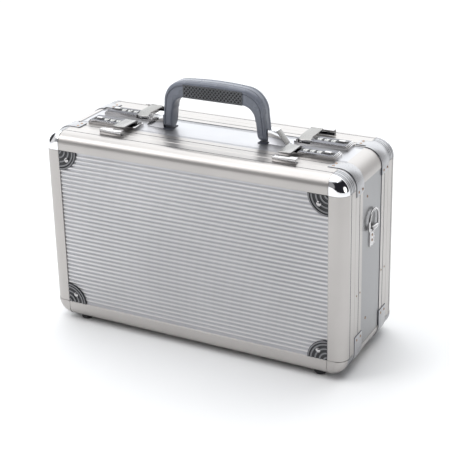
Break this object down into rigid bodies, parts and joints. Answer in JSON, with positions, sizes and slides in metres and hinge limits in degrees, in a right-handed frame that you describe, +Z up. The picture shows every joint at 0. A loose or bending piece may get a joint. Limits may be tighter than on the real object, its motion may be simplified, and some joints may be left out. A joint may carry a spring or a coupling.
{
  "type": "carry case",
  "caption": "Double-sided aluminium carry case with ribbed lids, chrome corners, combination latches and a swing-down grip handle.",
  "frame": {"origin": "centre of the case on the plane its feet rest on", "axes": "+X along the width, -Y towards the front lid, +Z up"},
  "size_m": [0.442, 0.1714, 0.342],
  "materials": {
    "frame_aluminium": "satin silver anodised extrusion",
    "corner_chrome": "bright polished cap",
    "ribbed_sheet": "ribbed satin sheet",
    "satin_sheet": "flat satin sheet",
    "bright_zinc": "bright plated fittings",
    "hasp_steel": "fine brushed plate",
    "steel_pin": "plain turned pin",
    "pad_plastic": "dark grey moulded",
    "foot_rubber": "black moulded foot",
    "lining": "dark padded lining",
    "divider_board": "dark board",
    "handle_plastic": "slate grey moulded",
    "grip_rubber": "black knurled insert",
    "dial_plastic": "pale number wheel"
  },
  "bodies": {
    "case": {"body_bands": "frame_aluminium", "top_panel": "satin_sheet", "bottom_panel": "satin_sheet", "side_panels": "satin_sheet", "corner_rails": "frame_aluminium", "corner_brackets": "bright_zinc", "body_rivets": "bright_zinc", "divider": "divider_board", "compartment_liners": "lining", "body_hinges": "hasp_steel", "hinge_pins": "steel_pin", "handle_brackets": "bright_zinc", "handle_pins": "steel_pin", "strap_lugs": "bright_zinc", "latch_bases": "bright_zinc", "latch_pins": "steel_pin"},
    "front_lid": {"front_lid_frame": "frame_aluminium", "front_lid_panel": "ribbed_sheet", "front_lid_top_corners": "corner_chrome", "front_lid_bottom_corners": "frame_aluminium", "front_lid_pads": "pad_plastic", "front_lid_rivets": "bright_zinc", "front_lid_keepers": "bright_zinc", "front_lid_liner": "lining", "front_lid_hinges": "hasp_steel", "front_lid_feet": "foot_rubber"},
    "rear_lid": {"rear_lid_frame": "frame_aluminium", "rear_lid_panel": "ribbed_sheet", "rear_lid_top_corners": "corner_chrome", "rear_lid_bottom_corners": "frame_aluminium", "rear_lid_pads": "pad_plastic", "rear_lid_rivets": "bright_zinc", "rear_lid_keepers": "bright_zinc", "rear_lid_liner": "lining", "rear_lid_hinges": "hasp_steel", "rear_lid_feet": "foot_rubber"},
    "handle": {"handle_bow": "handle_plastic", "handle_grips": "grip_rubber"},
    "left_ring": {"left_ring": "bright_zinc"},
    "right_ring": {"right_ring": "bright_zinc"},
    "front_left_hasp": {"front_left_hasp": "hasp_steel"},
    "front_left_slider": {"front_left_slider": "bright_zinc"},
    "front_left_dial_1": {"front_left_dial_1": "dial_plastic"},
    "front_left_dial_2": {"front_left_dial_2": "dial_plastic"},
    "front_left_dial_3": {"front_left_dial_3": "dial_plastic"},
    "front_right_hasp": {"front_right_hasp": "hasp_steel"},
    "front_right_slider": {"front_right_slider": "bright_zinc"},
    "front_right_dial_1": {"front_right_dial_1": "dial_plastic"},
    "front_right_dial_2": {"front_right_dial_2": "dial_plastic"},
    "front_right_dial_3": {"front_right_dial_3": "dial_plastic"},
    "rear_left_hasp": {"rear_left_hasp": "hasp_steel"},
    "rear_left_slider": {"rear_left_slider": "bright_zinc"},
    "rear_left_dial_1": {"rear_left_dial_1": "dial_plastic"},
    "rear_left_dial_2": {"rear_left_dial_2": "dial_plastic"},
    "rear_left_dial_3": {"rear_left_dial_3": "dial_plastic"},
    "rear_right_hasp": {"rear_right_hasp": "hasp_steel"},
    "rear_right_slider": {"rear_right_slider": "bright_zinc"},
    "rear_right_dial_1": {"rear_right_dial_1": "dial_plastic"},
    "rear_right_dial_2": {"rear_right_dial_2": "dial_plastic"},
    "rear_right_dial_3": {"rear_right_dial_3": "dial_plastic"}
  },
  "joints": [
    {"name": "front_lid_hinge", "type": "hinge", "parent": "case", "child": "front_lid", "pos_m": [0, -0.053, 0.0034], "axis": [1, 0, 0], "range_deg": [0, 95]},
    {"name": "rear_lid_hinge", "type": "hinge", "parent": "case", "child": "rear_lid", "pos_m": [0, 0.053, 0.0034], "axis": [-1, 0, 0], "range_deg": [0, 95]},
    {"name": "handle_swing", "type": "hinge", "parent": "case", "child": "handle", "pos_m": [0, 0, 0.284], "axis": [1, 0, 0], "range_deg": [-85, 85]},
    {"name": "left_ring_swing", "type": "hinge", "parent": "case", "child": "left_ring", "pos_m": [-0.2178, 0, 0.181], "axis": [0, -1, 0], "range_deg": [0, 160]},
    {"name": "right_ring_swing", "type": "hinge", "parent": "case", "child": "right_ring", "pos_m": [0.2178, 0, 0.181], "axis": [0, 1, 0], "range_deg": [0, 160]},
    {"name": "front_left_hasp_lift", "type": "hinge", "parent": "case", "child": "front_left_hasp", "pos_m": [-0.11875, -0.013, 0.2762], "axis": [-1, 0, 0], "range_deg": [0, 90]},
    {"name": "front_left_slider_push", "type": "slide", "parent": "case", "child": "front_left_slider", "axis": [-1, 0, 0], "range_m": [0, 0.003], "stiffness_N_per_m": 120, "springref_m": -0.002},
    {"name": "front_left_dial_1_turn", "type": "hinge", "parent": "case", "child": "front_left_dial_1", "pos_m": [-0.1355, -0.022, 0.27505], "axis": [1, 0, 0], "continuous": true},
    {"name": "front_left_dial_2_turn", "type": "hinge", "parent": "case", "child": "front_left_dial_2", "pos_m": [-0.1447, -0.022, 0.27505], "axis": [1, 0, 0], "continuous": true},
    {"name": "front_left_dial_3_turn", "type": "hinge", "parent": "case", "child": "front_left_dial_3", "pos_m": [-0.1539, -0.022, 0.27505], "axis": [1, 0, 0], "continuous": true},
    {"name": "front_right_hasp_lift", "type": "hinge", "parent": "case", "child": "front_right_hasp", "pos_m": [0.11875, -0.013, 0.2762], "axis": [-1, 0, 0], "range_deg": [0, 90]},
    {"name": "front_right_slider_push", "type": "slide", "parent": "case", "child": "front_right_slider", "axis": [1, 0, 0], "range_m": [0, 0.003], "stiffness_N_per_m": 120, "springref_m": -0.002},
    {"name": "front_right_dial_1_turn", "type": "hinge", "parent": "case", "child": "front_right_dial_1", "pos_m": [0.1355, -0.022, 0.27505], "axis": [1, 0, 0], "continuous": true},
    {"name": "front_right_dial_2_turn", "type": "hinge", "parent": "case", "child": "front_right_dial_2", "pos_m": [0.1447, -0.022, 0.27505], "axis": [1, 0, 0], "continuous": true},
    {"name": "front_right_dial_3_turn", "type": "hinge", "parent": "case", "child": "front_right_dial_3", "pos_m": [0.1539, -0.022, 0.27505], "axis": [1, 0, 0], "continuous": true},
    {"name": "rear_left_hasp_lift", "type": "hinge", "parent": "case", "child": "rear_left_hasp", "pos_m": [-0.11875, 0.013, 0.2762], "axis": [1, 0, 0], "range_deg": [0, 90]},
    {"name": "rear_left_slider_push", "type": "slide", "parent": "case", "child": "rear_left_slider", "axis": [-1, 0, 0], "range_m": [0, 0.003], "stiffness_N_per_m": 120, "springref_m": -0.002},
    {"name": "rear_left_dial_1_turn", "type": "hinge", "parent": "case", "child": "rear_left_dial_1", "pos_m": [-0.1355, 0.022, 0.27505], "axis": [1, 0, 0], "continuous": true},
    {"name": "rear_left_dial_2_turn", "type": "hinge", "parent": "case", "child": "rear_left_dial_2", "pos_m": [-0.1447, 0.022, 0.27505], "axis": [1, 0, 0], "continuous": true},
    {"name": "rear_left_dial_3_turn", "type": "hinge", "parent": "case", "child": "rear_left_dial_3", "pos_m": [-0.1539, 0.022, 0.27505], "axis": [1, 0, 0], "continuous": true},
    {"name": "rear_right_hasp_lift", "type": "hinge", "parent": "case", "child": "rear_right_hasp", "pos_m": [0.11875, 0.013, 0.2762], "axis": [1, 0, 0], "range_deg": [0, 90]},
    {"name": "rear_right_slider_push", "type": "slide", "parent": "case", "child": "rear_right_slider", "axis": [1, 0, 0], "range_m": [0, 0.003], "stiffness_N_per_m": 120, "springref_m": -0.002},
    {"name": "rear_right_dial_1_turn", "type": "hinge", "parent": "case", "child": "rear_right_dial_1", "pos_m": [0.1355, 0.022, 0.27505], "axis": [1, 0, 0], "continuous": true},
    {"name": "rear_right_dial_2_turn", "type": "hinge", "parent": "case", "child": "rear_right_dial_2", "pos_m": [0.1447, 0.022, 0.27505], "axis": [1, 0, 0], "continuous": true},
    {"name": "rear_right_dial_3_turn", "type": "hinge", "parent": "case", "child": "rear_right_dial_3", "pos_m": [0.1539, 0.022, 0.27505], "axis": [1, 0, 0], "continuous": true}
  ]
}
